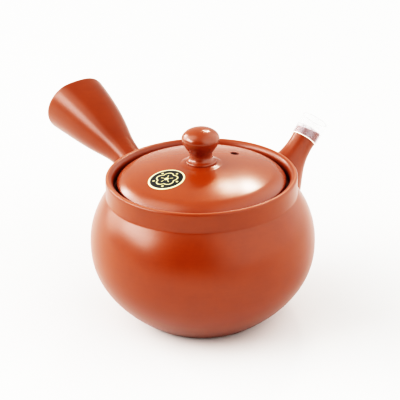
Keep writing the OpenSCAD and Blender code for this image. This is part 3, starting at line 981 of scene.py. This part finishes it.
def makeCamera():
    pixels = view["lens"] / view["sensor"] * view["picture"]
    panBy, nodBy = [math.atan((p - view["picture"] / 2) / pixels) for p in view["aimPixel"]]
    back = viewDirection(-90, view["elevation"])
    forward, right = -back, turnBack @ Vector((1, 0, 0))
    up = right.cross(forward)
    pan = Matrix.Rotation(panBy, 3, up)
    forward, right = pan @ forward, pan @ right
    nod = Matrix.Rotation(nodBy, 3, right)
    forward, up = nod @ forward, nod @ up
    roll = Matrix.Rotation(math.radians(view["roll"]), 3, forward)
    right, up = roll @ right, roll @ up
    data = bpy.data.cameras.new("camera")
    data.lens, data.sensor_width = view["lens"], view["sensor"]
    data.clip_start, data.clip_end = view["clip"]
    camera = addObject("camera", data)
    spot = Matrix((right, up, -forward)).transposed().to_4x4()
    spot.translation = (Vector((0, 0, view["aimZ"])) + back * view["distance"]) * mm
    camera.matrix_world = spot
    scene.camera = camera


makeCamera()
print("scene: camera set")

# Light

# a large soft light on the left; radiance is what a mirror would show
softbox = {
    "azimuth": -169, "elevation": 28, "distance": 3000, "aimZ": 50, "size": (2150, 1100),
    "radiance": 4.5,
}
# narrow lamps on the lid; flow is radiance times solid angle at the lid
lamps = {
    "lampNear": {"azimuth": 74.2, "elevation": 40.3, "flow": 0.21},
    "lampFar": {"azimuth": 82.3, "elevation": 44.7, "flow": 0.12},
}
lampFit = {
    "distance": 600, "from": (30, -20, 75), "aim": (15, -10, 75), "cone": 17.0, "soft": 0.5,
    "radius": 22, "colour": (1.0, 0.95, 0.86),
}
# the room: a pale base, and boards as strength, azimuth, elevation, and inner and outer angle
room = {
    "base": 0.44,
    "boards": (
        (0.64, -12, 15, 50, 74),  # a wide one on the right
        (2.2, 152, 22, 10, 24),  # three behind on the left
        (1.2, 178, 54, 12, 28),
        (3.0, 137, 22, 4, 10),
        (-0.43, -98, 8, 20, 50),  # dark by the camera
    ),
    "ceiling": (0.2, 0.65, 0.92),  # how much darker overhead, and the heights it fades over
    "colour": (1.0, 0.995, 0.985, 1),
}


def pointLight(light, spot, back):
    light.location = spot * mm
    light.rotation_mode = "QUATERNION"
    light.rotation_quaternion = back.to_track_quat("Z", "Y")


def makeSoftbox():
    data = bpy.data.lights.new("left", "AREA")
    data.shape = "RECTANGLE"
    data.size, data.size_y = [v * mm for v in softbox["size"]]
    data.energy = softbox["radiance"] * math.pi * data.size * data.size_y
    toward = viewDirection(softbox["azimuth"], softbox["elevation"])
    spot = toward * softbox["distance"] + Vector((0, 0, softbox["aimZ"]))
    pointLight(addObject("left", data), spot, toward)


def makeLamp(name, setting):
    data = bpy.data.lights.new(name, "SPOT")
    data.energy = setting["flow"] * 4 * math.pi * (lampFit["distance"] * mm) ** 2
    data.spot_size, data.spot_blend = math.radians(lampFit["cone"]), lampFit["soft"]
    data.shadow_soft_size = lampFit["radius"] * mm
    data.color = lampFit["colour"]
    spot = viewDirection(setting["azimuth"], setting["elevation"]) * lampFit["distance"]
    spot += turnBack @ Vector(lampFit["from"])
    pointLight(addObject(name, data), spot, spot - turnBack @ Vector(lampFit["aim"]))


def makeRoom():
    world = bpy.data.worlds.new("studio")
    scene.world = world
    world.use_nodes = True
    shade = world.node_tree.nodes["Background"]
    look = Wire(world.node_tree).node("ShaderNodeTexCoord", {}, {}, "Generated")
    wall = room["base"]
    for strength, azimuth, elevation, inner, outer in room["boards"]:
        facing = look.dot(viewDirection(azimuth, elevation))
        board = facing.step(math.cos(math.radians(outer)), math.cos(math.radians(inner)))
        wall = wall + strength * board
    darker, low, high = room["ceiling"]
    height = look.axes()[2]
    (wall * (1 - darker * height.step(low, high))).to(shade, "Strength")
    shade.inputs["Color"].default_value = room["colour"]


makeSoftbox()
for name, setting in lamps.items():
    makeLamp(name, setting)
makeRoom()
print("scene: light set")

# Floor

table = {
    "half": 2500, "tones": ((0.89, 0.885, 0.86, 1), (0.91, 0.905, 0.875, 1)), "fleck": 40.0,
    "shade": (0.42, 0.42, 0.42, 1), "shadeFrom": (100, 450),  # it falls off into shade in front
    "gloss": 0.2, "rough": 0.8, "roughFleck": 0.1,
}


def makeFloor():
    made, shader, place = newMaterial("paleFloor", {"Specular IOR Level": table["gloss"]})
    fleck = place.noise(table["fleck"], 3.0)
    front = place.dot(tuple(turnBack @ Vector((0, -1, 0)))) / mm
    pale = fleck.between(*table["tones"])
    front.step(*table["shadeFrom"]).between(pale, table["shade"]).to(shader, "Base Color")
    (table["rough"] + table["roughFleck"] * (fleck - 0.5)).to(shader, "Roughness")
    half = table["half"]
    corners = [(-half, -half, 0), (half, -half, 0), (half, half, 0), (-half, half, 0)]
    floor = buildPiece("paleFloor", corners, [(0, 1, 2, 3)], made)


makeFloor()
print("scene: floor set")
